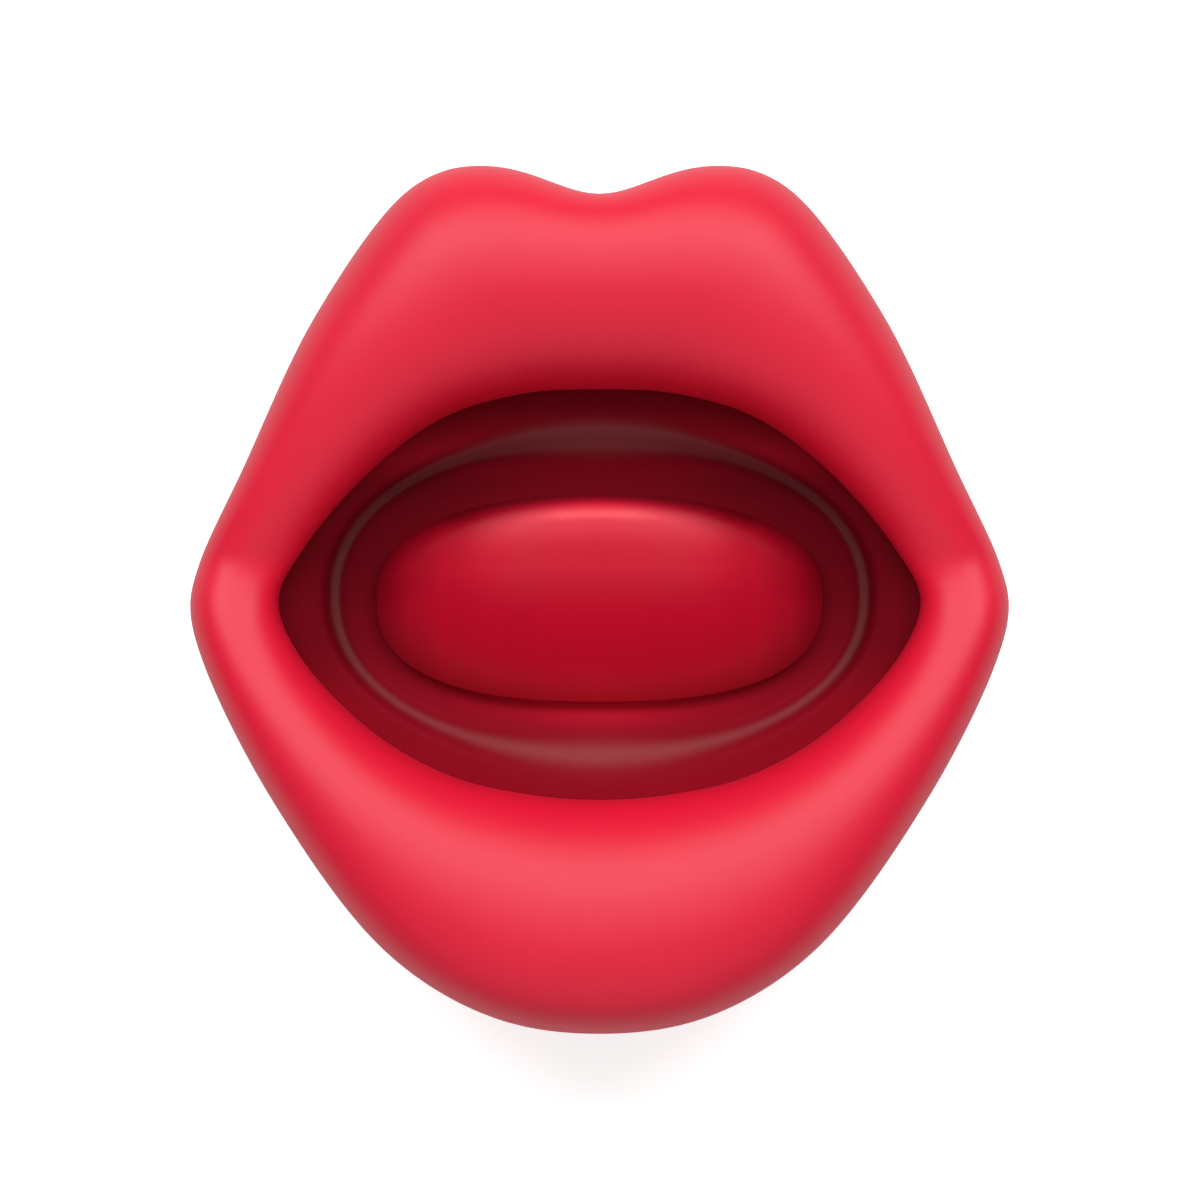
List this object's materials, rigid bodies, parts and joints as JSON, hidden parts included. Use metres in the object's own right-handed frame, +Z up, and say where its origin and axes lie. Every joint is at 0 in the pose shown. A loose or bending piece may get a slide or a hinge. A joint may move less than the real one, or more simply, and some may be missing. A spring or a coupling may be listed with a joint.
{
  "type": "lip-shaped telephone",
  "caption": "One-piece telephone shaped as open red lips with a press tongue, a keypad, earpiece, mouthpiece and hook plunger on its back.",
  "frame": {"origin": "on the table, under the middle of the body as it lies on its feet", "axes": "+X to the right across the mouth, +Y towards the upper lip, +Z up out of the mouth"},
  "size_m": [0.184, 0.1948, 0.064],
  "materials": {
    "lips_plastic": "soft-touch satin red with a fine grain",
    "liner_plastic": "satin burgundy",
    "tongue_plastic": "soft-touch satin red",
    "cover_plastic": "fine textured red",
    "key_plastic": "satin ivory",
    "feature_key_plastic": "satin grey",
    "foot_rubber": "matt black",
    "mat_rubber": "matt grey",
    "board_laminate": "green laminate",
    "black_plastic": "satin black",
    "spring_steel": "bright",
    "zinc_steel": "zinc plated",
    "ringer_brass": "bright brass",
    "cast_weight": "dull grey",
    "lead_sheath": "flexible red sheath"
  },
  "bodies": {
    "case": {"lips_shell": "lips_plastic", "mouth_liner": "liner_plastic", "back_cover": "cover_plastic", "foot_upper_left": "foot_rubber", "foot_lower_left": "foot_rubber", "foot_upper_right": "foot_rubber", "foot_lower_right": "foot_rubber", "microphone_boot": "foot_rubber", "receiver_gasket": "foot_rubber", "keypad_mat": "mat_rubber", "main_board": "board_laminate", "dialler_chip": "black_plastic", "filter_capacitor": "black_plastic", "tongue_switch": "black_plastic", "receiver": "black_plastic", "ringer_retainer": "black_plastic", "hook_switch": "black_plastic", "line_jack": "black_plastic", "tongue_spring_left": "spring_steel", "tongue_spring_right": "spring_steel", "hook_spring": "spring_steel", "receiver_clamp": "spring_steel", "case_screw_upper_left": "zinc_steel", "case_screw_upper_right": "zinc_steel", "case_screw_middle_left": "zinc_steel", "case_screw_middle_right": "zinc_steel", "case_screw_lower_left": "zinc_steel", "case_screw_lower_right": "zinc_steel", "clamp_screw_left": "zinc_steel", "clamp_screw_right": "zinc_steel", "microphone": "zinc_steel", "ringer_switch_body": "zinc_steel", "dial_mode_switch": "zinc_steel", "ringer_disc": "ringer_brass", "ballast_left": "cast_weight", "ballast_right": "cast_weight", "line_transformer": "cast_weight", "receiver_lead": "lead_sheath", "microphone_lead": "lead_sheath", "line_lead": "lead_sheath", "ringer_lead": "lead_sheath"},
    "tongue": {"tongue_button": "tongue_plastic", "tongue_retainer": "spring_steel"},
    "hook": {"hook_plunger": "key_plastic"},
    "ringer_knob": {"ringer_switch_knob": "black_plastic"},
    "mode_knob": {"dial_mode_knob": "black_plastic"},
    "key_1": {"key_1": "key_plastic"},
    "key_2": {"key_2": "key_plastic"},
    "key_3": {"key_3": "key_plastic"},
    "key_4": {"key_4": "key_plastic"},
    "key_5": {"key_5": "key_plastic"},
    "key_6": {"key_6": "key_plastic"},
    "key_7": {"key_7": "key_plastic"},
    "key_8": {"key_8": "key_plastic"},
    "key_9": {"key_9": "key_plastic"},
    "key_star": {"key_star": "key_plastic"},
    "key_0": {"key_0": "key_plastic"},
    "key_hash": {"key_hash": "key_plastic"},
    "redial_key": {"redial_key": "feature_key_plastic"},
    "flash_key": {"flash_key": "feature_key_plastic"}
  },
  "joints": [
    {"name": "tongue_press", "type": "slide", "parent": "case", "child": "tongue", "axis": [0, 0, -1], "range_m": [0, 0.003], "stiffness_N_per_m": 400, "springref_m": -0.004, "deforming": ["tongue_spring_left", "tongue_spring_right"]},
    {"name": "hook_slide", "type": "slide", "parent": "case", "child": "hook", "axis": [0, 0, -1], "range_m": [0, 0.004], "stiffness_N_per_m": 50, "springref_m": 0.006, "deforming": ["hook_spring"]},
    {"name": "ringer_slide", "type": "slide", "parent": "case", "child": "ringer_knob", "axis": [1, 0, 0], "range_m": [-0.003, 0.003]},
    {"name": "mode_slide", "type": "slide", "parent": "case", "child": "mode_knob", "axis": [1, 0, 0], "range_m": [-0.003, 0.003]},
    {"name": "key_1_press", "type": "slide", "parent": "case", "child": "key_1", "axis": [0, 0, 1], "range_m": [0, 0.0012], "stiffness_N_per_m": 300, "springref_m": -0.001},
    {"name": "key_2_press", "type": "slide", "parent": "case", "child": "key_2", "axis": [0, 0, 1], "range_m": [0, 0.0012], "stiffness_N_per_m": 300, "springref_m": -0.001},
    {"name": "key_3_press", "type": "slide", "parent": "case", "child": "key_3", "axis": [0, 0, 1], "range_m": [0, 0.0012], "stiffness_N_per_m": 300, "springref_m": -0.001},
    {"name": "key_4_press", "type": "slide", "parent": "case", "child": "key_4", "axis": [0, 0, 1], "range_m": [0, 0.0012], "stiffness_N_per_m": 300, "springref_m": -0.001},
    {"name": "key_5_press", "type": "slide", "parent": "case", "child": "key_5", "axis": [0, 0, 1], "range_m": [0, 0.0012], "stiffness_N_per_m": 300, "springref_m": -0.001},
    {"name": "key_6_press", "type": "slide", "parent": "case", "child": "key_6", "axis": [0, 0, 1], "range_m": [0, 0.0012], "stiffness_N_per_m": 300, "springref_m": -0.001},
    {"name": "key_7_press", "type": "slide", "parent": "case", "child": "key_7", "axis": [0, 0, 1], "range_m": [0, 0.0012], "stiffness_N_per_m": 300, "springref_m": -0.001},
    {"name": "key_8_press", "type": "slide", "parent": "case", "child": "key_8", "axis": [0, 0, 1], "range_m": [0, 0.0012], "stiffness_N_per_m": 300, "springref_m": -0.001},
    {"name": "key_9_press", "type": "slide", "parent": "case", "child": "key_9", "axis": [0, 0, 1], "range_m": [0, 0.0012], "stiffness_N_per_m": 300, "springref_m": -0.001},
    {"name": "key_star_press", "type": "slide", "parent": "case", "child": "key_star", "axis": [0, 0, 1], "range_m": [0, 0.0012], "stiffness_N_per_m": 300, "springref_m": -0.001},
    {"name": "key_0_press", "type": "slide", "parent": "case", "child": "key_0", "axis": [0, 0, 1], "range_m": [0, 0.0012], "stiffness_N_per_m": 300, "springref_m": -0.001},
    {"name": "key_hash_press", "type": "slide", "parent": "case", "child": "key_hash", "axis": [0, 0, 1], "range_m": [0, 0.0012], "stiffness_N_per_m": 300, "springref_m": -0.001},
    {"name": "redial_key_press", "type": "slide", "parent": "case", "child": "redial_key", "axis": [0, 0, 1], "range_m": [0, 0.0012], "stiffness_N_per_m": 300, "springref_m": -0.001},
    {"name": "flash_key_press", "type": "slide", "parent": "case", "child": "flash_key", "axis": [0, 0, 1], "range_m": [0, 0.0012], "stiffness_N_per_m": 300, "springref_m": -0.001}
  ]
}
